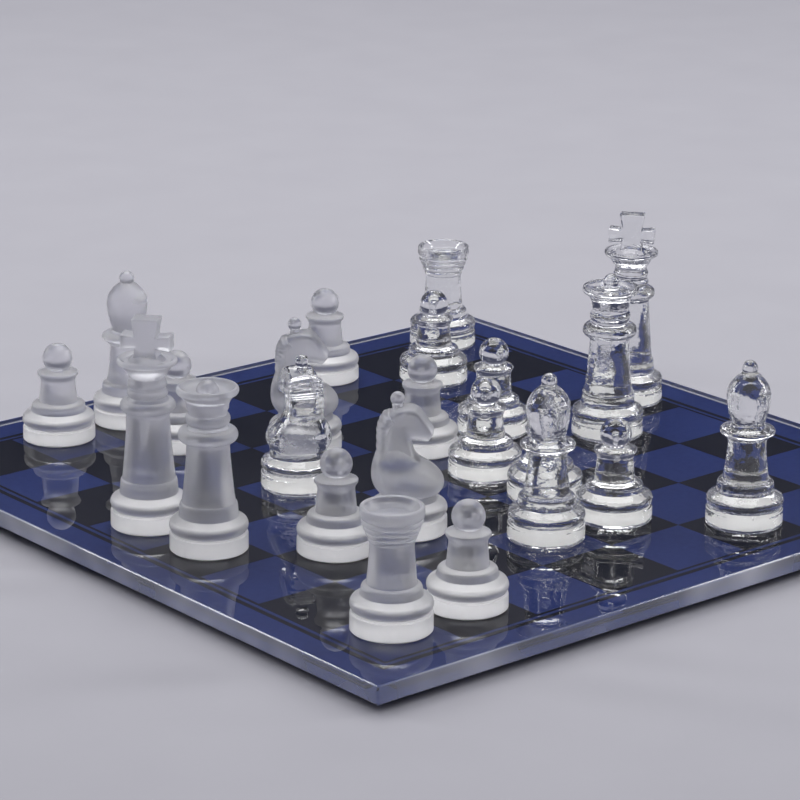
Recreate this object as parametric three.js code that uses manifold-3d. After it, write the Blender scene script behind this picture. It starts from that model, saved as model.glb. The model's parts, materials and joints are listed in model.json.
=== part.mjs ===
// A glass chess set: a square glass board on four bumper feet, with sixteen
// frosted and sixteen clear glass pieces standing as they do in mid-game.
// Millimetres, +Z up. The origin is under the middle of the board, at table height.

import * as THREE from "three";
import { mergeVertices } from "three/addons/utils/BufferGeometryUtils.js";
import Module from "manifold-3d";

const wasm = await Module();
wasm.setup();

// ---------- driving dimensions ----------

const square = 27.5; // side of one playing square
const boardSide = 250; // outer side of the glass
const glassThick = 5.5; // thickness of the glass
const printThick = 0.25; // thickness of each printed layer under the glass
const footHigh = 2; // bumper feet
const footRadius = 5;
const footInset = 16; // from the edge of the board to the middle of a foot

const baseRadius = 11.6; // foot of every piece
const segments = 12; // facets round a turned piece

const pawnHigh = 31.4;
const rookHigh = 36;
const knightHigh = 43;
const bishopHigh = 50.6;
const queenHigh = 53.4;
const kingHigh = 64;

// ---------- heights through the board ----------

const backingBottom = footHigh;
const printBottom = backingBottom + printThick;
const glassBottom = printBottom + printThick;
const boardTop = glassBottom + glassThick;
const fieldSide = 8 * square;

// ---------- materials ----------

const finishes = {
  clearGlass: { color: 0xdfe6ee, roughness: 0.05, metalness: 0 },
  frostedGlass: { color: 0xd9dce0, roughness: 0.6, metalness: 0 },
  boardGlass: { color: 0xc3cbe0, roughness: 0.04, metalness: 0 },
  bluePaint: { color: 0x3c4a86, roughness: 0.5, metalness: 0 },
  blackPaint: { color: 0x121419, roughness: 0.5, metalness: 0 },
  clearRubber: { color: 0xc9ccd0, roughness: 0.4, metalness: 0 },
};

// ---------- helpers ----------

const set = new THREE.Group();

function place(name, geometry, finish, x, y, z, turn = 0) {
  const mesh = new THREE.Mesh(geometry, new THREE.MeshStandardMaterial(finishes[finish]));
  mesh.name = name;
  mesh.position.set(x, y, z);
  mesh.rotation.z = turn;
  set.add(mesh);
}

// A solid turned about Z from a list of [radius, height] pairs.
function turned(profile, sides = segments) {
  const points = profile.map(([radius, height]) => new THREE.Vector2(radius, height));
  return new THREE.LatheGeometry(points, sides).rotateX(Math.PI / 2);
}

// Points on a round stretch of a profile, centred on the axis at the given height.
function round(centre, radius, high, from, to, steps) {
  return Array.from({ length: steps + 1 }, (unused, i) => {
    const angle = THREE.MathUtils.degToRad(from + ((to - from) * i) / steps);
    return [radius * Math.cos(angle), centre + high * Math.sin(angle)];
  });
}

function plate(width, depth, thick) {
  return new THREE.BoxGeometry(width, depth, thick).translate(0, 0, thick / 2);
}

function solid(geometry) {
  const bare = geometry.clone();
  bare.deleteAttribute("normal");
  bare.deleteAttribute("uv");
  const merged = mergeVertices(bare);
  return new wasm.Manifold(
    new wasm.Mesh({
      numProp: 3,
      vertProperties: new Float32Array(merged.attributes.position.array),
      triVerts: new Uint32Array(merged.index.array),
    }),
  );
}

function geometryOf(manifold) {
  const mesh = manifold.getMesh();
  const geometry = new THREE.BufferGeometry();
  geometry.setAttribute("position", new THREE.BufferAttribute(mesh.vertProperties, 3));
  geometry.setIndex(new THREE.BufferAttribute(mesh.triVerts, 1));
  return geometry;
}

// ---------- the board ----------

function squareRing(outerHalf, innerHalf, thick) {
  const ring = new THREE.Shape();
  const hole = new THREE.Path();
  for (const [path, half] of [[ring, outerHalf], [hole, innerHalf]]) {
    path.moveTo(-half, -half);
    path.lineTo(half, -half);
    path.lineTo(half, half);
    path.lineTo(-half, half);
    path.closePath();
  }
  ring.holes.push(hole);
  return new THREE.ExtrudeGeometry(ring, { depth: thick, bevelEnabled: false });
}

// The dark squares are printed a hair oversize, so that they join at their corners,
// and a thin line round the field ties in the ones on the edge.
function darkSquares() {
  const bleed = 0.1;
  const lineWide = 0.8;
  const side = square + bleed;
  let print = solid(squareRing(fieldSide / 2 + lineWide, fieldSide / 2 - bleed, printThick));
  for (let column = 0; column < 8; column += 1) {
    for (let row = 0; row < 8; row += 1) {
      if ((column + row) % 2 === 1) {
        const patch = plate(side, side, printThick);
        patch.translate((column - 3.5) * square, (row - 3.5) * square, 0);
        print = print.add(solid(patch));
      }
    }
  }
  return geometryOf(print);
}

function board() {
  const backingMargin = 1;
  const backingSide = boardSide - 2 * backingMargin;
  place("board_glass", plate(boardSide, boardSide, glassThick), "boardGlass", 0, 0, glassBottom);
  place("dark_squares", darkSquares(), "blackPaint", 0, 0, printBottom);
  const lineInner = fieldSide / 2 + 2.2;
  const lineOuter = lineInner + 1.6;
  place("border_line", squareRing(lineOuter, lineInner, printThick), "blackPaint", 0, 0, printBottom);
  place("blue_backing", plate(backingSide, backingSide, printThick), "bluePaint", 0, 0, backingBottom);

  const reach = boardSide / 2 - footInset;
  const foot = [[0, 0], [footRadius, 0], [footRadius - 0.8, footHigh], [0, footHigh]];
  const corners = { front_left: [-1, -1], front_right: [1, -1], back_right: [1, 1], back_left: [-1, 1] };
  for (const [corner, [x, y]] of Object.entries(corners)) {
    place(`bumper_foot_${corner}`, turned(foot, 24), "clearRubber", x * reach, y * reach, 0);
  }
}

// ---------- the pieces ----------

// Every piece stands on the same turned foot: a drum, a groove, a fat ring and a step.
function foot(stepRadius, stepHigh) {
  return [
    [0, 0],
    [baseRadius, 0],
    [baseRadius, 3.9],
    [baseRadius - 0.5, 4.6],
    [baseRadius, 6.2],
    [baseRadius - 0.9, 9],
    [8.3, 10.9],
    [stepRadius, stepHigh],
  ];
}

function pawn() {
  const ballRadius = 4.85;
  const ballCentre = pawnHigh - ballRadius;
  const ball = round(ballCentre, ballRadius, ballRadius, -42, 90, 5);
  return turned([...foot(6.4, 12.8), [5.2, 19], [6.5, 21.2], [4.8, 23.1], ...ball]);
}

// The rook is a tapered column under a flared, stepped cup with a shallow hollow.
function rook() {
  const cupDeep = 3;
  const steps = [[6.8, 25.2], [6.8, 27], [5.9, 28], [7.2, 29.6], [8, 32]];
  const rim = [[9.1, rookHigh - 0.6], [8.5, rookHigh], [7.3, rookHigh], [6, rookHigh - cupDeep]];
  return turned([...foot(7.4, 14), [5.6, 24.4], ...steps, ...rim, [0, rookHigh - cupDeep]]);
}

// The bishop's egg-shaped head, widest above its middle, carries a small knob and a
// slot cut in from one side.
function bishop() {
  const knobRadius = 2.3;
  const slotHigh = 41;
  const head = [[4.9, 31.4], [6.1, 35], [6.6, 39.6], [5.8, 43], [3, 46]];
  const knob = round(bishopHigh - knobRadius, knobRadius, knobRadius, -40, 90, 4);
  const collar = [[5.6, 25.6], [8.2, 28.4], [8.2, 30], [5, 30.8]];
  const body = solid(turned([...foot(7, 14), ...collar, ...head, ...knob]));
  const slot = new THREE.BoxGeometry(6, 16, 1.2).rotateY(-0.35).translate(6, 0, slotHigh);
  return geometryOf(body.subtract(solid(slot)));
}

function queen() {
  const ballRadius = 2.5;
  const dishHigh = 49.6;
  const ball = round(queenHigh - ballRadius, ballRadius, ballRadius, -30, 90, 4);
  const collar = [[6.1, 32], [8.8, 34.6], [8.8, 36], [6.2, 36.8]];
  const rings = [[5.2, 38], [6.3, 39.6], [6.3, 41], [5.4, 42.4]];
  const dish = [[6.4, 45.4], [9.1, 49], [8.6, dishHigh], [3.4, 48.6]];
  return turned([...foot(8, 15), ...collar, ...rings, ...dish, ...ball]);
}

// One arm of the cross, wider at its end than at its root, standing on its root.
function crossArm(rootHalf, endHalf, long, thick) {
  const outline = new THREE.Shape();
  outline.moveTo(-rootHalf, 0);
  outline.lineTo(rootHalf, 0);
  outline.lineTo(endHalf, long);
  outline.lineTo(-endHalf, long);
  outline.closePath();
  const arm = new THREE.ExtrudeGeometry(outline, { depth: thick, bevelEnabled: false });
  return arm.translate(0, 0, -thick / 2).rotateX(Math.PI / 2);
}

function king() {
  const crossThick = 6;
  const crossMiddle = 56.8;
  const crossHalf = 7.4;
  const crownHigh = 51.8;
  const collar = [[6.3, 35], [8.2, 37.4], [8.2, 38.8], [6, 39.6]];
  const rings = [[5.2, 41], [6, 43.4], [5.4, 45.6]];
  const crown = [[8.8, 50.6], [8.4, crownHigh], [3.4, 52.4], [0, 52.6]];
  let body = solid(turned([...foot(8, 15.4), ...collar, ...rings, ...crown]));
  const post = new THREE.BoxGeometry(5.4, crossThick, 6).translate(0, 0, crossMiddle - 3);
  body = body.add(solid(post));
  const top = crossArm(3.2, 4.2, kingHigh - crossMiddle, crossThick);
  body = body.add(solid(top.translate(0, 0, crossMiddle)));
  for (const side of [-1, 1]) {
    const arm = crossArm(1.8, 2.3, crossHalf, crossThick).rotateY((side * Math.PI) / 2);
    body = body.add(solid(arm.translate(0, 0, crossMiddle)));
  }
  return geometryOf(body);
}

// The knight is a turned foot and a round chest, with a horse's head cut from flat
// glass. It faces +X, with one knob for its ears.
function knight() {
  const headThick = 9;
  const neckHigh = 12.6;
  const chest = turned([[0, 11.6], ...round(18, 9.9, 7.6, -56, 70, 6), [0, 26.6]]);
  chest.scale(1.08, 1, 1);
  const stem = solid(turned([...foot(8.2, neckHigh), [0, neckHigh]]));
  const body = stem.add(solid(chest));
  const outline = new THREE.Shape();
  outline.moveTo(-8.8, 19);
  outline.lineTo(-9.8, 27);
  outline.quadraticCurveTo(-10, 38.4, -2, 38.6);
  outline.lineTo(3.2, 37.6);
  outline.quadraticCurveTo(6.6, 34, 7.2, 31);
  outline.lineTo(5.6, 28.3);
  outline.lineTo(0.6, 27.4);
  outline.lineTo(5, 19);
  outline.closePath();
  const options = { depth: headThick, bevelEnabled: false, curveSegments: 5 };
  const head = new THREE.ExtrudeGeometry(outline, options);
  head.translate(0, 0, -headThick / 2).rotateX(Math.PI / 2);
  const earRadius = 2.5;
  const earTop = round(knightHigh - earRadius, earRadius, earRadius, 0, 90, 3);
  const ears = turned([[0, 34], [earRadius, 34], ...earTop], 10);
  return geometryOf(body.add(solid(head)).add(solid(ears.translate(-3.4, 0, 0))));
}

const makers = { pawn, rook, knight, bishop, queen, king };
const shapes = Object.fromEntries(Object.entries(makers).map(([kind, make]) => [kind, make()]));

// Where each piece stands: its square, counted from the near corner of the board, with
// a small nudge off the middle of the square for the ones set down carelessly. Columns
// run along X and rows along Y. The last number turns a piece, in degrees.
const frostedPieces = [
  ["king", 0, 4, -0.05, 0, -50],
  ["queen", 0, 3, 0, 0, 0],
  ["rook_1", 0, 0, 0, 0, 0],
  ["knight_1", 2, 2, 0, 0.1, -42],
  ["knight_2", 3, 5, -0.1, 0, -42],
  ["bishop_1", 2, 7, -0.1, 0.1, -45],
  ["pawn_1", 1, 0, 0, 0, 0],
  ["pawn_2", 1, 2, 0, 0.1, 0],
  ["pawn_3", 1, 7, -0.1, 0.1, 0],
  ["pawn_4", 2, 6, -0.2, 0, 0],
  ["pawn_5", 4, 4, -0.1, 0.1, 0],
  ["pawn_6", 5, 7, -0.2, 0, 0],
];
const clearPieces = [
  ["king", 7, 4, 0.1, 0, -50],
  ["queen", 6, 3, 0, 0.2, 0],
  ["rook_1", 7, 7, -0.1, 0.2, 0],
  ["rook_2", 7, 0, 0, 0, 0],
  ["knight_1", 2, 4, 0, 0, 72],
  ["bishop_1", 3, 1, 0, 0, -45],
  ["bishop_2", 5, 0, 0, 0, -45],
  ["pawn_1", 4, 1, 0, 0, 0],
  ["pawn_2", 4, 2, -0.1, 0, 0],
  ["pawn_3", 4, 3, -0.1, 0, 0],
  ["pawn_4", 5, 4, 0, 0.1, 0],
  ["pawn_5", 6, 6, -0.2, 0.1, 0],
];
// Taken pieces stand on the table in a row beside the board, near one corner.
const frostedTaken = ["rook_2", "bishop_2", "pawn_7", "pawn_8"];
const clearTaken = ["knight_2", "pawn_6", "pawn_7", "pawn_8"];

const takenReach = boardSide / 2 + 18; // from the middle of the board to a row
const takenFirst = boardSide / 2 - 3.5; // first piece of a row, just past the board's corner
const takenStep = 2 * baseRadius + 0.4;

function standPiece(colour, name, x, y, z, turn) {
  const kind = name.split("_")[0];
  place(`${colour}_${name}`, shapes[kind].clone(), `${colour}Glass`, x, y, z, turn);
}

function pieces() {
  for (const [colour, list] of [["frosted", frostedPieces], ["clear", clearPieces]]) {
    for (const [name, column, row, nudgeX, nudgeY, turn] of list) {
      const x = (column - 3.5 + nudgeX) * square;
      const y = (row - 3.5 + nudgeY) * square;
      standPiece(colour, name, x, y, boardTop, THREE.MathUtils.degToRad(turn));
    }
  }
  frostedTaken.forEach((name, i) => {
    standPiece("frosted", name, takenReach, -takenFirst + i * takenStep, 0, 0);
  });
  clearTaken.forEach((name, i) => {
    standPiece("clear", name, -takenReach, takenFirst - i * takenStep, 0, 0);
  });
}

board();
pieces();

export default set;
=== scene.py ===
# %% [markdown]
# # A glass chess set on a glass board
#
# The real set is thirty-two lumps of pressed glass, half of them etched to a satin
# frost and half left clear, standing on a square of float glass that is printed black
# and blue underneath. This lesson turns each kind of piece ring by ring, as on a
# lathe, cuts and joins what a lathe can't make, and then finishes the glass.

# %% Load the fixed model
import json
import math

import bpy
from mathutils import Matrix, Vector


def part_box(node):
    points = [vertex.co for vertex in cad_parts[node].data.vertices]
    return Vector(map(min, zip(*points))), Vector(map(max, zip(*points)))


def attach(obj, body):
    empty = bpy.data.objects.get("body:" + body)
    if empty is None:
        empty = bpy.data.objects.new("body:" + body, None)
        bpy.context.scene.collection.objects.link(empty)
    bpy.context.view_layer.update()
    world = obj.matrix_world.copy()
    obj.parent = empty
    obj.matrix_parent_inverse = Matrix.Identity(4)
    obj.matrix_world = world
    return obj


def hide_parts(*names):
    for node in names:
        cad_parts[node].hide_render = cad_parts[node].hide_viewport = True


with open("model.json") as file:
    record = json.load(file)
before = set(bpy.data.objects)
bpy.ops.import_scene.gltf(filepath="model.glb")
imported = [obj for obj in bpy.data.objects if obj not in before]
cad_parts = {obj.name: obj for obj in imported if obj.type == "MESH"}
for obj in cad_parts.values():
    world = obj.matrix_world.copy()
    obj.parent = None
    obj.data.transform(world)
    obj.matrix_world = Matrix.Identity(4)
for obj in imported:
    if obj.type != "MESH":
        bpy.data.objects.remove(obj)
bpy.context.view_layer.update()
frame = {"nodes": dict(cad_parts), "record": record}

mm = 0.001

# %% [markdown]
# ## The camera
#
# A product picture of a board game is taken from far away with a long lens, so that
# the board's sides stay nearly parallel. The camera could be placed by hand, but a
# heading, a tilt and an aim point say the same thing in words that can be read.

# %% Place the camera
heading = math.radians(49.7)
tilt_down = math.radians(17.55)
roll = math.radians(0.46)
camera_reach = 1.084
focal_length = 146.25
board_low, board_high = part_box("board_glass")
board_top = board_high.z

forward = Vector((
    math.cos(heading) * math.cos(tilt_down),
    math.sin(heading) * math.cos(tilt_down),
    -math.sin(tilt_down),
))
level_right = Vector((math.sin(heading), -math.cos(heading), 0))
level_up = level_right.cross(forward)
right = math.cos(roll) * level_right + math.sin(roll) * level_up
up = right.cross(forward)

aim = Vector((0.0392, 0.0606, board_top))
camera = bpy.data.objects.new("camera", bpy.data.cameras.new("camera"))
bpy.context.scene.collection.objects.link(camera)
camera.data.lens = focal_length
camera.data.sensor_width = 36
camera.data.clip_start = 0.05
camera.data.clip_end = 50
turn = Matrix((right, up, -forward)).transposed().to_4x4()
camera.matrix_world = Matrix.Translation(aim - forward * camera_reach) @ turn
bpy.context.scene.camera = camera
print("camera at", [round(value, 3) for value in camera.matrix_world.translation])

# %% [markdown]
# ## Small hands
#
# Every piece below is made with the same few moves of the mesh editor. These helpers
# only save typing: they select one object or some of its faces, apply a modifier, join
# two lumps of glass or cut one out of another, and round or smooth what is left.

# %% Helpers for selecting and finishing
merge_distance = 0.002 * mm


def only(piece):
    """Leave one object selected and active."""
    bpy.ops.object.select_all(action="DESELECT")
    piece.select_set(True)
    bpy.context.view_layer.objects.active = piece


def edit_faces(piece, wanted):
    """Open a piece for editing with only the wanted faces selected."""
    only(piece)
    bpy.ops.object.mode_set(mode="EDIT")
    bpy.ops.mesh.select_mode(type="FACE")
    bpy.ops.mesh.select_all(action="DESELECT")
    bpy.ops.object.mode_set(mode="OBJECT")
    for face in piece.data.polygons:
        face.select = wanted(face)
    bpy.ops.object.mode_set(mode="EDIT")


def finish_with(piece, kind, **settings):
    """Add one modifier, set it and apply it."""
    only(piece)
    modifier = piece.modifiers.new(kind.lower(), kind)
    for name, value in settings.items():
        setattr(modifier, name, value)
    bpy.ops.object.modifier_apply(modifier=modifier.name)


def settle(piece):
    """Merge doubles and point every face outwards."""
    only(piece)
    bpy.ops.object.mode_set(mode="EDIT")
    bpy.ops.mesh.select_all(action="SELECT")
    bpy.ops.mesh.remove_doubles(threshold=merge_distance)
    bpy.ops.mesh.normals_make_consistent(inside=False)
    bpy.ops.object.mode_set(mode="OBJECT")


def combine(piece, other, operation):
    """Join another solid to a piece, or cut it away, and throw the other one out."""
    finish_with(piece, "BOOLEAN", object=other, operation=operation, solver="EXACT")
    bpy.data.objects.remove(other)
    settle(piece)


def soften(piece, width, segments, angle=40):
    """Round every edge that is sharper than an angle, by a width in mm."""
    sharp = {"limit_method": "ANGLE", "angle_limit": math.radians(angle)}
    finish_with(piece, "BEVEL", width=width * mm, segments=segments, **sharp)


def smooth(piece, angle=35):
    """Shade smooth across gentle edges, and keep the flat faces flat."""
    only(piece)
    bpy.ops.object.shade_smooth_by_angle(angle=math.radians(angle))
    finish_with(piece, "WEIGHTED_NORMAL", keep_sharp=True)


# %% [markdown]
# ## Turning on a lathe
#
# A turned piece is a list of radii and heights. It could be a curve spun about the
# axis, or a screw modifier; here a disc is drawn up ring by ring instead, because each
# ring can then be read straight off the outline, from the underside to the tip.

# %% Turn a solid from its outline
around = 72


def turned(name, outline, sides=around):
    """Draw a disc up through (radius, height) pairs in mm; a radius of 0 closes in a point."""
    bpy.ops.object.select_all(action="DESELECT")
    radius, height = outline[0]
    bpy.ops.mesh.primitive_circle_add(
        vertices=sides, radius=radius * mm, fill_type="NGON", location=(0, 0, height * mm)
    )
    piece = bpy.context.object
    piece.name = name
    bpy.ops.object.transform_apply(location=True, rotation=True, scale=True)
    bpy.ops.object.mode_set(mode="EDIT")
    bpy.ops.mesh.select_all(action="SELECT")
    for new_radius, new_height in outline[1:]:
        rise = (new_height - height) * mm
        bpy.ops.mesh.extrude_region_move(TRANSFORM_OT_translate={"value": (0, 0, rise)})
        if new_radius == 0:
            bpy.ops.mesh.merge(type="CENTER")
            break
        grow = new_radius / radius
        bpy.ops.transform.resize(value=(grow, grow, 1), center_override=(0, 0, new_height * mm))
        radius, height = new_radius, new_height
    bpy.ops.object.mode_set(mode="OBJECT")
    settle(piece)
    return piece


def arc(centre, size, start, end, steps):
    """Points on a round stretch of an outline; angles are degrees up from straight outwards."""
    points = []
    for step in range(steps + 1):
        angle = math.radians(start + (end - start) * step / steps)
        radius = centre[0] + size[0] * math.cos(angle)
        height = centre[1] + size[1] * math.sin(angle)
        points.append((radius, height))
    return points


# %% [markdown]
# ## The foot
#
# Every piece stands on the same foot: a drum, a notch, a fat ring whose top slopes in
# like a cone, and a small second ring from which the column rises. The drum is a little
# lower on a pawn. The underside is dished, so that the glass stands on its rim.

# %% Outline of the foot
foot_radius = 11.55
ring_middle = 9.75
second_ring_radius = 8.5


def foot(column_radius, column_start, drum_top=5.3, second_ring=True):
    """The outline from the underside to the start of the column."""
    underside = [(8.4, 0.35), (9.0, 0.02)]
    drum = [(foot_radius - 0.45, 0), (foot_radius, 0.45), (foot_radius - 0.05, drum_top - 0.5)]
    notch = [(foot_radius - 0.25, drum_top - 0.15), (foot_radius - 0.65, drum_top)]
    ring = arc((ring_middle, drum_top + 2.2), (foot_radius - ring_middle, 2.05), -55, 52, 10)
    ledge = [(9.0, drum_top + 4.9), (8.75, drum_top + 5.15)]
    outline = underside + drum + notch + ring + ledge
    if second_ring:
        axis = column_radius + 0.2
        outline += arc((axis, column_start - 1.6), (second_ring_radius - axis, 1.35), -5, 72, 6)
    return outline + [(column_radius, column_start)]


print("points in the foot", len(foot(7, 14)))

# %% [markdown]
# ## The pawn
#
# The simplest piece: a foot, a short tapered column, a thin collar and a ball. It shows
# the whole method, so it comes first.

# %% Turn the pawn
def pawn():
    top = 31.3
    ball_radius = 4.75
    ball_centre = top - ball_radius
    column = [(6.05, 13.1), (5.8, 15.6), (5.5, 18.6), (5.5, 19.4)]
    collar = [(5.7, 20.2), (6.35, 21.2)] + arc((6.1, 21.75), (0.35, 0.4), -20, 95, 3)
    seat = [(4.9, 22.45), (3.9, 22.6)]
    ball = arc((0, ball_centre), (ball_radius, ball_radius), -46, 86, 18)
    stem = foot(6.2, 12.5, drum_top=4.5) + column
    piece = turned("pawn", stem + collar + seat + ball + [(0, top)])
    smooth(piece)
    return piece


# %% [markdown]
# ## The rook
#
# A plain column under a cup that flares in stacked beads, each a little wider than the
# one below, with a thick rolled lip and a shallow hollow. The beads are a loop.

# %% Turn the rook
def rook():
    column = [(6.9, 14.4), (6.5, 19), (6.15, 23.6), (6.15, 25.1)]
    beads = []
    for bead in range(4):
        beads += arc((5.8 + 0.65 * bead, 26.3 + 1.7 * bead), (0.8, 0.84), -66, 66, 5)
    lip = [(8.3, 32.3)] + arc((8.35, 33.8), (0.62, 1.3), -50, 30, 4)
    lip += arc((8.1, 35.2), (0.8, 0.7), 10, 90, 4)
    hollow = [(7.5, 35.6), (6.7, 33.9), (5.7, 32.9), (3, 32.6), (0, 32.6)]
    piece = turned("rook", foot(7.1, 13.7, drum_top=5.6) + column + beads + lip + hollow)
    smooth(piece)
    return piece


# %% [markdown]
# ## The bishop
#
# A column with a wide collar carries a mitre: an egg that is widest above its middle
# and runs up into a knob. The slot is sawn in from one side with a thin wheel, so it is
# cut away here with a thin slab.

# %% Turn the bishop and saw its slot
def bishop():
    top = 50.5
    knob_radius = 2.35
    column = [(6.8, 15), (6.1, 20), (5.7, 25), (5.9, 26.6)]
    collar = [(7.3, 27.7)] + arc((7.3, 28.9), (0.95, 1.0), -50, 90, 6)
    waist = [(5.6, 30.3), (4.95, 31.1)]
    mitre = [(5.3, 32.6), (5.85, 34.6), (6.3, 36.8), (6.55, 39), (6.55, 40.6)]
    mitre += [(6.25, 42), (5.5, 43.6)]
    shoulder = [(4.4, 45), (3.2, 46.1), (2.35, 46.8)]
    knob = arc((0, top - knob_radius), (knob_radius, knob_radius), -28, 84, 10)
    outline = foot(7, 14.1) + column + collar + waist + mitre + shoulder + knob + [(0, top)]
    piece = turned("bishop", outline)
    bpy.ops.object.select_all(action="DESELECT")
    place = (6.2 * mm, 0, 41 * mm)
    slope = (0, math.radians(14), 0)
    slab = (7 * mm, 18 * mm, 1 * mm)
    bpy.ops.mesh.primitive_cube_add(size=1, location=place, rotation=slope, scale=slab)
    wheel = bpy.context.object
    bpy.ops.object.transform_apply(location=True, rotation=True, scale=True)
    finish_with(wheel, "BEVEL", width=0.3 * mm, segments=3)
    combine(piece, wheel, "DIFFERENCE")
    soften(piece, 0.15, 2)
    smooth(piece)
    return piece


# %% [markdown]
# ## The queen
#
# The queen's column carries a fat collar, one soft ring and a wide dish with a ball in
# it. On the frosted queen the etching has eaten the ball down to a low button.

# %% Turn the queen
def queen(name, ball_radius, ball_top):
    column = [(7.5, 17), (6.9, 23), (6.4, 29), (6.3, 31.6)]
    collar = [(6.6, 32.2), (6.7, 32.8)] + arc((7.1, 34.9), (1.65, 1.9), -60, 80, 9)
    waist = [(6.1, 36.9), (5.75, 37.5)]
    ring = arc((5.2, 39.7), (1.35, 1.75), -65, 65, 8)
    throat = [(5.75, 42.2), (6.1, 42.9), (6.25, 44.4), (6.8, 45.6)]
    dish = [(7.9, 46.8)] + arc((8.3, 48.3), (0.8, 1.15), -55, 110, 8)
    hollow = [(7.3, 48.7), (6.5, 48.0), (5.2, 47.7), (ball_radius * 0.9, 47.9)]
    seat_share = 0.86
    start = -math.degrees(math.acos(seat_share))
    ball = arc((0, ball_top - ball_radius), (ball_radius, ball_radius), start, 84, 9)
    stem = foot(7.9, 14.6) + column + collar + waist + ring + throat
    outline = stem + dish + hollow + ball + [(0, ball_top)]
    piece = turned(name, outline)
    smooth(piece)
    return piece


# %% [markdown]
# ## The king
#
# The king's crown is a cup with a moat round a low boss, and a thick cross stands on
# the boss. A cross isn't round: it starts as its own middle block, and each of its four
# arms is a face of that block, drawn out and then widened at its end.

# %% Turn the king and add its cross
def cross(middle, top, thick):
    """A cross with flared arms that stands in the XZ plane; all sizes are in mm."""
    arm_reach, root_reach = 7.5, 5
    half = Vector((3.2, thick / 2, 1.8))
    bpy.ops.object.select_all(action="DESELECT")
    bpy.ops.mesh.primitive_cube_add(size=2 * mm, scale=half)
    piece = bpy.context.object
    bpy.ops.object.transform_apply(location=True, rotation=True, scale=True)
    arms = [
        (Vector((0, 0, 1)), top - middle, (1.3, 1, 1)),
        (Vector((0, 0, -1)), root_reach, (1.15, 1, 1)),
        (Vector((1, 0, 0)), arm_reach, (1, 1, 1.3)),
        (Vector((-1, 0, 0)), arm_reach, (1, 1, 1.3)),
    ]
    for outward, reach, flare in arms:
        root = outward * abs(outward.dot(half)) * mm
        tip = outward * reach * mm
        edit_faces(piece, lambda face: (face.center - root).length < 0.01 * mm)
        bpy.ops.mesh.extrude_region_move(TRANSFORM_OT_translate={"value": tip - root})
        bpy.ops.transform.resize(value=flare, center_override=tip)
        bpy.ops.object.mode_set(mode="OBJECT")
    piece.data.transform(Matrix.Translation((0, 0, middle * mm)))
    settle(piece)
    soften(piece, 0.5, 3, 30)
    return piece


def king():
    column = [(7.6, 17.4), (7.1, 23), (6.6, 29), (6.4, 34.2)]
    collar = [(6.6, 34.9), (6.9, 35.6)] + arc((6.9, 37.3), (1.3, 1.6), -60, 80, 8)
    waist = [(6.2, 39), (5.7, 39.5)]
    rings = arc((4.9, 41.1), (1.1, 1.3), -60, 60, 5) + arc((4.9, 44), (0.9, 1.2), -60, 60, 5)
    crown = [(5.2, 45.9), (6.0, 47.3), (7.5, 49.4)] + arc((8.25, 50.8), (0.65, 0.9), -50, 100, 6)
    boss = [(7.4, 51.2), (6.9, 50.9), (5.6, 51), (4.6, 52), (3.4, 52.6), (0, 52.8)]
    piece = turned("king", foot(7.9, 14.9) + column + collar + waist + rings + crown + boss)
    combine(piece, cross(56.7, 63.9, 6), "UNION")
    smooth(piece)
    return piece


# %% [markdown]
# ## The knight
#
# The horse is the only piece that is carved. It could be sculpted, but a few slices say
# enough: each slice has a front point, a back point and a half width, and a chamfered
# square is drawn from slice to slice and rounded by subdivision. The chest is drawn
# with deep chamfers, so that it comes out oval, and the head with shallow ones, so that
# its cheeks stay flat. A ridged mane and an ear knob are joined on.

# %% Draw a section through a row of slices
def drawn(name, slices, chamfer, levels):
    """Draw a chamfered square through slices: front and back points and a half width, in mm."""
    bpy.ops.object.select_all(action="DESELECT")
    bpy.ops.mesh.primitive_plane_add(size=2 * mm)
    piece = bpy.context.object
    piece.name = name
    bpy.ops.object.mode_set(mode="EDIT")
    bpy.ops.mesh.select_all(action="SELECT")
    bpy.ops.mesh.bevel(offset=chamfer * mm, segments=1, affect="VERTICES")
    centre, half, wide, lean = Vector((0, 0, 0)), 1, 1, 0
    for number, (front, back, new_wide) in enumerate(slices):
        front_point, back_point = Vector((front[0], 0, front[1])), Vector((back[0], 0, back[1]))
        new_centre = (front_point + back_point) / 2
        new_half = (front_point - back_point).length / 2
        new_lean = math.atan2(back_point.z - front_point.z, front_point.x - back_point.x)
        step = (new_centre - centre) * mm
        if number == 0:
            bpy.ops.transform.translate(value=step)
        else:
            bpy.ops.mesh.extrude_region_move(TRANSFORM_OT_translate={"value": step})
        middle = new_centre * mm
        along, across = new_half / half, new_wide / wide
        bpy.ops.transform.rotate(value=lean, orient_axis="Y", center_override=middle)
        bpy.ops.transform.resize(value=(along, across, 1), center_override=middle)
        bpy.ops.transform.rotate(value=-new_lean, orient_axis="Y", center_override=middle)
        centre, half, wide, lean = new_centre, new_half, new_wide, new_lean
    bpy.ops.object.mode_set(mode="OBJECT")
    finish_with(piece, "SUBSURF", levels=levels, render_levels=levels)
    settle(piece)
    return piece


# %% Carve the knight
def level(height, front, back, half_width):
    """A slice that lies flat."""
    return (front, height), (back, height), half_width


def chest():
    slices = [
        level(11.6, 7.8, -7.8, 7.6),
        level(13.2, 10.2, -9.9, 9.4),
        level(15.6, 11, -11.2, 10.2),
        level(18, 10, -11.4, 9.8),
        level(20.2, 7.6, -11.2, 8.7),
        level(22, 4.1, -10.7, 7.4),
        level(24.4, 1.8, -9.9, 5.8),
        level(27.4, 0.5, -8.8, 4.6),
    ]
    return drawn("chest", slices, 0.5, 3)


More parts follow.
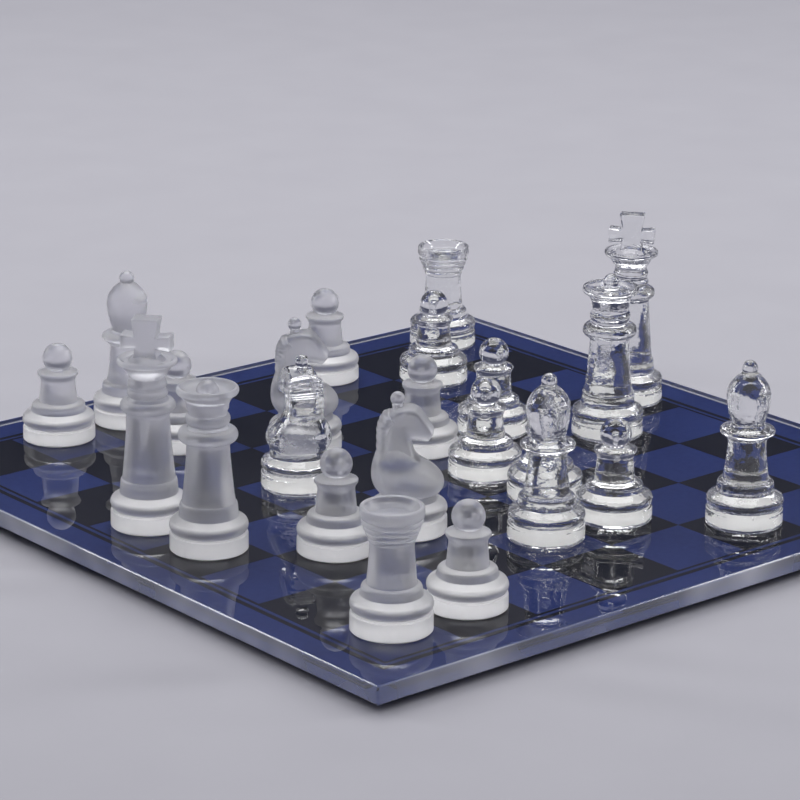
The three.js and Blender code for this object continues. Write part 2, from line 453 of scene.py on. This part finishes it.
def head():
    slices = [
        level(21, 2.6, -8.6, 4.8),
        ((1.2, 26), (-8.6, 26.4), 4.8),
        ((0.3, 28.5), (-8.5, 31.6), 4.8),
        ((0.8, 28.8), (-7, 35.8), 4.8),
        ((1.5, 28.9), (-4, 38.2), 4.8),
        ((2.3, 28.8), (0.3, 38.9), 4.8),
        ((3.2, 28.7), (3, 37.9), 4.7),
        ((4.2, 28.6), (4.9, 34.9), 4.6),
        ((5.4, 28.6), (7.1, 31.6), 4.3),
        ((5.7, 28.7), (7.5, 31), 4.2),
    ]
    return drawn("head", slices, 0.2, 3)


def mane():
    """A band of rounded locks that follows the back of the neck up to the ears."""
    locks = 9
    depth, half_width = 4.6, 5.6
    straight_share, sink_share = 0.45, 0.85
    low, bend = 20, 30.6
    hub, reach = Vector((-2.2, bend)), Vector((7.4, 8.6))
    slices = []
    for step in range(2 * locks + 1):
        share = step / (2 * locks)
        ridge = 0.3 if step % 2 else -0.15
        if share < straight_share:
            angle = 0
            height = low + (bend - low) * share / straight_share
            outer = Vector((hub.x - reach.x, height))
        else:
            angle = math.radians(60) * (share - straight_share) / (1 - straight_share)
            outer = hub + Vector((-reach.x * math.cos(angle), reach.y * math.sin(angle)))
        outward = Vector((-math.cos(angle), math.sin(angle)))
        sink = 8 * max(0, share - sink_share)
        outer -= outward * sink
        inside, crest = outer - outward * depth, outer + outward * ridge
        slices.append((tuple(inside), tuple(crest), half_width + ridge - sink / 2))
    return drawn("mane", slices, 0.55, 2)


def ears():
    radius = 2.15
    top = 42.9
    behind_middle = 3.4 * mm
    knob = arc((0, top - radius), (radius, radius), -45, 82, 9)
    piece = turned("ears", [(1.2, 36), (1.7, 38.9)] + knob + [(0, top)], sides=32)
    piece.data.transform(Matrix.Translation((-behind_middle, 0, 0)))
    return piece


def knight():
    piece = turned("knight", foot(8.6, 12.4, second_ring=False) + [(0, 12.6)])
    for part in (chest(), head(), mane(), ears()):
        combine(piece, part, "UNION")
    smooth(piece, 50)
    return piece


# %% Make one of each kind
kinds = {
    "pawn": pawn(),
    "rook": rook(),
    "bishop": bishop(),
    "queen": queen("queen", 2.5, 53.3),
    "frosted_queen": queen("frosted_queen", 3.3, 51.2),
    "king": king(),
    "knight": knight(),
}
for kind, piece in kinds.items():
    sides = [round(side / mm, 1) for side in piece.dimensions]
    print(kind, "faces", len(piece.data.polygons), "size in mm", sides)

# %% [markdown]
# ## Shader arithmetic
#
# A material's patterns are sums and products of textures. Wiring Math nodes by hand is
# slow to read, so one small class wraps a socket and lets Python's own signs add the
# nodes, and one class puts a finish together.

# %% Write shader sums as sums
class Signal:
    """A value in a node tree that adds Math nodes when it is used in a sum."""

    def __init__(self, finish, socket):
        self.finish = finish
        self.socket = socket

    def join(self, operation, first, second):
        return self.finish.node("ShaderNodeMath", {"operation": operation}, {0: first, 1: second})

    def __add__(self, other):
        return self.join("ADD", self, other)

    def __radd__(self, other):
        return self.join("ADD", other, self)

    def __sub__(self, other):
        return self.join("SUBTRACT", self, other)

    def __rsub__(self, other):
        return self.join("SUBTRACT", other, self)

    def __mul__(self, other):
        return self.join("MULTIPLY", self, other)

    def __rmul__(self, other):
        return self.join("MULTIPLY", other, self)


class Finish:
    """A material being put together."""

    def __init__(self, name):
        self.material = bpy.data.materials.new(name)
        self.material.use_nodes = True
        self.tree = self.material.node_tree
        self.surface = self.tree.nodes["Principled BSDF"]
        self.spot = Signal(self, self.tree.nodes.new("ShaderNodeTexCoord").outputs["Object"])

    def node(self, kind, settings=None, inputs=None, output=0):
        """Add a node, set it, feed its sockets with numbers or signals, and return one output."""
        node = self.tree.nodes.new(kind)
        for name, value in (settings or {}).items():
            if name == "stops":
                self.set_stops(node.color_ramp.elements, value)
            else:
                setattr(node, name, value)
        for name, value in (inputs or {}).items():
            self.feed(node.inputs[name], value)
        return Signal(self, node.outputs[output])

    def set_stops(self, elements, stops):
        while len(elements) < len(stops):
            elements.new(0.5)
        for element, (place, colour) in zip(elements, stops):
            element.position = place
            element.color = colour

    def feed(self, socket, value):
        if isinstance(value, Signal):
            self.tree.links.new(value.socket, socket)
        else:
            socket.default_value = value

    def set(self, **values):
        """Feed the shader's own sockets; an underscore in a name stands for a space."""
        for name, value in values.items():
            self.feed(self.surface.inputs[name.replace("_", " ")], value)

    def noise(self, scale, detail=2, roughness=0.5):
        inputs = {"Vector": self.spot, "Scale": scale, "Detail": detail, "Roughness": roughness}
        return self.node("ShaderNodeTexNoise", None, inputs)

    def ramp(self, value, *stops):
        shades = [(place, (grey, grey, grey, 1)) for place, grey in stops]
        return self.node("ShaderNodeValToRGB", {"stops": shades}, {"Fac": value})

    def mix(self, share, first, second):
        """Mix two colours, either of which may be a signal."""
        inputs = {"Factor": share, 6: first, 7: second}
        return self.node("ShaderNodeMix", {"data_type": "RGBA"}, inputs, output=2)

    def other_output(self, signal, name):
        """Another output of the node that a signal comes from."""
        return Signal(self, signal.socket.node.outputs[name])

    def cover(self, share, coat):
        """Show another shader in place of the main one, by a share that may vary."""
        base = Signal(self, self.surface.outputs["BSDF"])
        blend = self.node("ShaderNodeMixShader", None, {0: share, 1: base, 2: coat})
        self.feed(self.tree.nodes["Material Output"].inputs["Surface"], blend)

    def bump(self, height, depth, strength=1.0):
        inputs = {"Height": height, "Distance": depth, "Strength": strength}
        return self.node("ShaderNodeBump", None, inputs)


# %% [markdown]
# ## Clear glass
#
# Pressed glass is clear but never flat: its skin keeps the slow ripples of the mould,
# and handling leaves faint greasy patches. The glass itself is a plain dielectric with
# an index of 1.5; the ripples are bump and the patches are a trace of roughness.

# %% Mix the clear glass
def clear_glass():
    finish = Finish("clear_glass")
    ripples = finish.noise(150, 1)
    fine_ripples = finish.noise(460, 2)
    smears = finish.ramp(finish.noise(90, 4, 0.6), (0.45, 0), (0.75, 1))
    finish.set(
        Base_Color=(0.975, 0.98, 0.985, 1),
        IOR=1.5,
        Transmission_Weight=1,
        Roughness=smears * 0.03 + 0.004,
        Normal=finish.bump(ripples + fine_ripples * 0.4, 0.8 * mm, 0.7),
    )
    return finish.material


# %% [markdown]
# ## Ground feet
#
# The underside of every piece is ground flat, so it is dull and white. From the side it
# is seen through the drum, and it fills the foot of a clear piece with soft light. It
# is white diffuse with a share of rough glass, scored by the grinding wheel.

# %% Mix the ground finish
def ground_glass():
    finish = Finish("ground_foot")
    grit = finish.noise(2600, 3)
    cloud = finish.noise(240, 2)
    finish.set(
        Base_Color=finish.mix(cloud, (0.80, 0.79, 0.75, 1), (0.9, 0.89, 0.86, 1)),
        IOR=1.5,
        Transmission_Weight=0.3,
        Roughness=cloud * 0.15 + 0.6,
        Normal=finish.bump(grit, 0.05 * mm, 0.3),
    )
    return finish.material


ground_foot = ground_glass()

# %% [markdown]
# ## Frosted glass
#
# Etched glass scatters light only at its skin. It still refracts, so the shapes behind
# it show as soft patches, and light that falls on a shoulder comes out of the foot. A
# rough dielectric does that by itself, and a share of white diffuse is mixed in for the
# bloom of the etch, which is a little thicker in some places than in others.

# %% Mix the frosted glass
def frosted_glass():
    finish = Finish("frosted_glass")
    grain = finish.noise(5200, 2)
    cloud = finish.noise(160, 3, 0.55)
    finish.set(
        Base_Color=finish.mix(cloud, (0.92, 0.92, 0.955, 1), (0.97, 0.965, 0.985, 1)),
        IOR=1.5,
        Transmission_Weight=0.92,
        Roughness=cloud * 0.12 + 0.31,
        Normal=finish.bump(grain, 0.04 * mm, 0.35),
    )
    return finish.material


# %% [markdown]
# ## The board's glass, its print and its feet
#
# Float glass is flat and faintly blue in its thickness. Its edges are ground and only
# half polished, so they are paler than the pane and blur what is behind them. The print
# is screen ink on the underside, so it is seen through the glass, deep and even, with
# the slight mottle of a screen. The feet are soft clear rubber.

# %% Mix the board's finishes
def board_glass():
    finish = Finish("board_glass")
    wipe_marks = finish.ramp(finish.noise(38, 5, 0.65), (0.5, 0), (0.8, 1))
    place_x = finish.node("ShaderNodeSeparateXYZ", None, {"Vector": finish.spot})
    place_y = finish.other_output(place_x, "Y")
    along = finish.node("ShaderNodeMath", {"operation": "ABSOLUTE"}, {0: place_x})
    across = finish.node("ShaderNodeMath", {"operation": "ABSOLUTE"}, {0: place_y})
    reach = finish.node("ShaderNodeMath", {"operation": "MAXIMUM"}, {0: along, 1: across})
    rim_start = board_high.x - 0.5 * mm
    rim_width = 0.4 * mm
    rim = finish.ramp((reach - rim_start) * (1 / rim_width), (0, 0), (1, 1))
    wheel_lines = finish.ramp(finish.noise(14, 3, 0.55), (0.4, 0), (0.62, 1))
    finish.set(
        Base_Color=(0.95, 0.965, 0.985, 1),
        IOR=1.5,
        Transmission_Weight=1,
        Roughness=wipe_marks * 0.02 + rim * 0.12 + 0.002,
        Normal=finish.bump(finish.noise(22, 1), 0.02 * mm, 0.3),
    )
    ground = finish.node("ShaderNodeBsdfPrincipled", None, {
        "Base Color": finish.mix(wheel_lines, (0.44, 0.46, 0.55, 1), (0.80, 0.81, 0.86, 1)),
        "Roughness": 0.35,
    })
    finish.cover(rim * (wheel_lines * 0.35 + 0.3), ground)
    return finish.material


def ink(name, dark, light, gloss):
    finish = Finish(name)
    mottle = finish.noise(500, 3, 0.6)
    drift = finish.noise(14, 2)
    shade = finish.ramp(mottle * 0.4 + drift * 0.6, (0.35, 0), (0.65, 1))
    finish.set(
        Base_Color=finish.mix(shade, dark, light),
        Specular_IOR_Level=0.1,
        Roughness=mottle * 0.2 + gloss,
        Normal=finish.bump(mottle, 0.02 * mm, 0.2),
    )
    return finish.material


def clear_rubber():
    finish = Finish("clear_rubber")
    haze = finish.noise(600, 3)
    finish.set(
        Base_Color=finish.mix(haze, (0.74, 0.75, 0.78, 1), (0.86, 0.87, 0.88, 1)),
        IOR=1.45,
        Transmission_Weight=0.6,
        Roughness=haze * 0.2 + 0.3,
        Normal=finish.bump(haze, 0.05 * mm, 0.3),
    )
    return finish.material


finishes = {
    "clear_glass": clear_glass(),
    "frosted_glass": frosted_glass(),
    "board_glass": board_glass(),
    "blue_paint": ink("blue_paint", (0.020, 0.038, 0.17, 1), (0.030, 0.052, 0.21, 1), 0.35),
    "black_paint": ink("black_paint", (0.004, 0.004, 0.006, 1), (0.008, 0.008, 0.011, 1), 0.35),
    "clear_rubber": clear_rubber(),
}
print("finishes", sorted(finishes))

# %% [markdown]
# ## Standing the pieces on the board
#
# The fixed model says where every piece stands. A copy of its kind, with a mesh of its
# own, is put on the middle of that place and turned to face as it does there. A hair of
# air is left under it, because glass on glass never quite touches.

# %% Dress the frame
air_gap = 0.05 * mm
facing = {
    "frosted_king": -50, "clear_king": -50, "frosted_knight_1": -42, "frosted_knight_2": -42,
    "clear_knight_1": 72, "frosted_bishop_1": -45, "clear_bishop_1": -45, "clear_bishop_2": -45,
}


def dress(piece, node, slot):
    """Give a finished piece its glass and its body, and hide the CAD node that it stands for."""
    piece.data.materials.clear()
    piece.data.materials.append(finishes[slot])
    bodies = frame["record"]["behaviour"]["bodies"]
    body = next(name for name, nodes in bodies.items() if node in nodes)
    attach(piece, body)
    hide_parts(node)


def grind_foot(piece, spot, below):
    """Give the underside the ground finish; a clear piece keeps a bright rim."""
    clear = piece.name.startswith("clear_")
    rim_start = 8 * mm
    piece.data.materials.append(ground_foot)
    for face in piece.data.polygons:
        looks_down = face.center.z < below and face.normal.z < -0.5
        on_rim = (face.center.xy - spot).length > rim_start
        if looks_down and not (clear and on_rim):
            face.material_index = 1


def stand(node):
    colour, kind = node.split("_")[:2]
    pattern = kinds["frosted_queen" if node == "frosted_queen" else kind]
    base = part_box(node)[0].z
    piece = bpy.data.objects.new(node + "_glass", pattern.data.copy())
    bpy.context.scene.collection.objects.link(piece)
    spot = foot_centre(node)
    turn = Matrix.Rotation(math.radians(facing.get(node, 0)), 4, "Z")
    piece.data.transform(Matrix.Translation((spot.x, spot.y, base + air_gap)) @ turn)
    dress(piece, node, colour + "_glass")
    grind_foot(piece, spot, base + 0.5 * mm)
    return piece


def foot_centre(node):
    """The middle of a node's lowest ring."""
    just_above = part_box(node)[0].z + 0.1 * mm
    corners = frame["nodes"][node].data.vertices
    ring = [corner.co for corner in corners if corner.co.z < just_above]
    across = [point.x for point in ring]
    along = [point.y for point in ring]
    return Vector(((min(across) + max(across)) / 2, (min(along) + max(along)) / 2))


loose = [node for node in sorted(frame["nodes"]) if node.startswith(("frosted_", "clear_"))]
standing = [stand(node) for node in loose]
for pattern in kinds.values():
    bpy.data.objects.remove(pattern)
print("pieces standing", len(standing))

# %% [markdown]
# ## The board
#
# The slab is one pane with its corners clipped and its edges ground to a small arris.
# The ink layers keep their flat CAD solids; the pane reaches down round them, because
# ink that is printed on glass leaves no air between. The feet are turned like the pieces.

# %% Make the pane
print_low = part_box("dark_squares")[0].z
contact = 0.02 * mm
corner_clip = 0.5 * mm
arris = 0.4
pane_low = print_low - contact
pane_size = board_high - Vector((board_low.x, board_low.y, pane_low))
pane_centre = (board_high + Vector((board_low.x, board_low.y, pane_low))) / 2
bpy.ops.object.select_all(action="DESELECT")
bpy.ops.mesh.primitive_cube_add(size=1, location=pane_centre, scale=pane_size)
pane = bpy.context.object
pane.name = "board_pane"
bpy.ops.object.transform_apply(location=True, rotation=True, scale=True)
for edge in pane.data.edges:
    ends = [pane.data.vertices[corner].co for corner in edge.vertices]
    edge.select = abs(ends[0].z - ends[1].z) > mm
bpy.ops.object.mode_set(mode="EDIT")
bpy.ops.mesh.select_mode(type="EDGE")
bpy.ops.mesh.bevel(offset=corner_clip, segments=2)
bpy.ops.object.mode_set(mode="OBJECT")
soften(pane, arris, 2)
smooth(pane, 30)
dress(pane, "board_glass", "board_glass")
inks = {"dark_squares": "black_paint", "border_line": "black_paint", "blue_backing": "blue_paint"}
for node, slot in inks.items():
    layer = frame["nodes"][node]
    layer.data.materials.clear()
    layer.data.materials.append(finishes[slot])
print("pane in mm", [round(side / mm, 2) for side in pane.dimensions])

# %% Turn the bumper feet
for corner in ("front_left", "front_right", "back_right", "back_left"):
    node = "bumper_foot_" + corner
    low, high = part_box(node)
    radius = (high.x - low.x) / 2 / mm
    height = (high.z - low.z) / mm
    roundness = 0.9
    sole = [(radius * 0.45, 0.25), (radius * 0.6, 0.0), (radius * 0.86, 0)]
    side = arc((radius - roundness, 0.8), (roundness, 0.8), -70, 0, 5)
    top = [(radius - 0.3, height - 0.2), (radius - 0.45, height)]
    bumper = turned(node + "_dome", sole + side + top, sides=40)
    smooth(bumper)
    place = Vector(((low.x + high.x) / 2, (low.y + high.y) / 2, low.z))
    bumper.data.transform(Matrix.Translation(place))
    dress(bumper, node, "clear_rubber")
    print(bumper.name, "height in mm", round(height, 2))

# %% [markdown]
# ## The studio
#
# Glass shows its surroundings more than itself. Under a sky that is bright overhead and
# dusky near the floor, shoulders and cross arms light up, columns stay grey, and the
# board mirrors the dusk, so that its black squares stay black. The sky is a world
# gradient. One big soft box hangs overhead, two tall ones at the sides draw the bright
# lines in the clear glass, and a long low one at the back lights the far rims.

# %% Lay the floor
def pale_floor():
    finish = Finish("pale_floor")
    fibre = finish.noise(30, 4)
    finish.set(
        Base_Color=finish.mix(fibre, (0.30, 0.295, 0.325, 1), (0.33, 0.325, 0.355, 1)),
        Roughness=fibre * 0.1 + 0.7,
    )
    return finish.material


floor_side = 24
floor_gap = 0.2 * mm
bpy.ops.object.select_all(action="DESELECT")
bpy.ops.mesh.primitive_plane_add(size=floor_side, location=(0, 0, -floor_gap))
floor = bpy.context.object
floor.name = "floor"
floor.data.materials.append(pale_floor())

# %% Light the set
world = bpy.data.worlds.new("studio")
bpy.context.scene.world = world
world.use_nodes = True
sky = world.node_tree
spread = sky.nodes.new("ShaderNodeTexCoord")
split = sky.nodes.new("ShaderNodeSeparateXYZ")
fade = sky.nodes.new("ShaderNodeValToRGB")
sky.links.new(spread.outputs["Generated"], split.inputs[0])
sky.links.new(split.outputs["Z"], fade.inputs["Fac"])
sky.links.new(fade.outputs["Color"], sky.nodes["Background"].inputs["Color"])
sky_stops = [
    (0.0, (0.045, 0.05, 0.085, 1)),
    (0.31, (0.06, 0.065, 0.105, 1)),
    (0.41, (0.26, 0.26, 0.33, 1)),
    (0.60, (0.38, 0.38, 0.42, 1)),
    (1.0, (0.45, 0.45, 0.48, 1)),
]
while len(fade.color_ramp.elements) < len(sky_stops):
    fade.color_ramp.elements.new(0.5)
for element, (place, colour) in zip(fade.color_ramp.elements, sky_stops):
    element.position = place
    element.color = colour
sky.nodes["Background"].inputs["Strength"].default_value = 1


def soft_box(name, place, target, wide, high, power):
    lamp = bpy.data.objects.new(name, bpy.data.lights.new(name, "AREA"))
    bpy.context.scene.collection.objects.link(lamp)
    lamp.data.shape = "RECTANGLE"
    lamp.data.size = wide
    lamp.data.size_y = high
    lamp.data.energy = power
    lamp.location = place
    lamp.rotation_euler = (Vector(target) - Vector(place)).to_track_quat("-Z", "Y").to_euler()
    return lamp


middle = Vector((0, 0, 0.03))
away = Vector((math.cos(heading), math.sin(heading), 0))
sideways = Vector((math.sin(heading), -math.cos(heading), 0))
boxes = [
    # name, to the right, away, up, width, height, watts
    ("top_box", 0, 0.4, 1.3, 1.3, 1.0, 17),
    ("left_strip", -1.3, 0.35, 0.55, 0.22, 0.9, 7),
    ("right_strip", 1.3, 0.2, 0.55, 0.22, 0.9, 8),
    ("back_strip", 0, 1.4, 1.1, 1.4, 0.14, 5),
]
for name, to_right, behind, above, wide, high, power in boxes:
    place = middle + sideways * to_right + away * behind + Vector((0, 0, above))
    soft_box(name, place, middle, wide, high, power)

# %% [markdown]
# ## Light through many walls of glass
#
# A ray that looks through four pieces in a row crosses sixteen surfaces. The renderer
# gives up after a dozen by default and leaves black patches, so it is allowed more.

# %% Let light go deep
scene = bpy.context.scene
scene.cycles.max_bounces = 32
scene.cycles.transmission_bounces = 28
scene.cycles.glossy_bounces = 12
scene.cycles.sample_clamp_indirect = 6
scene.view_settings.view_transform = "Standard"
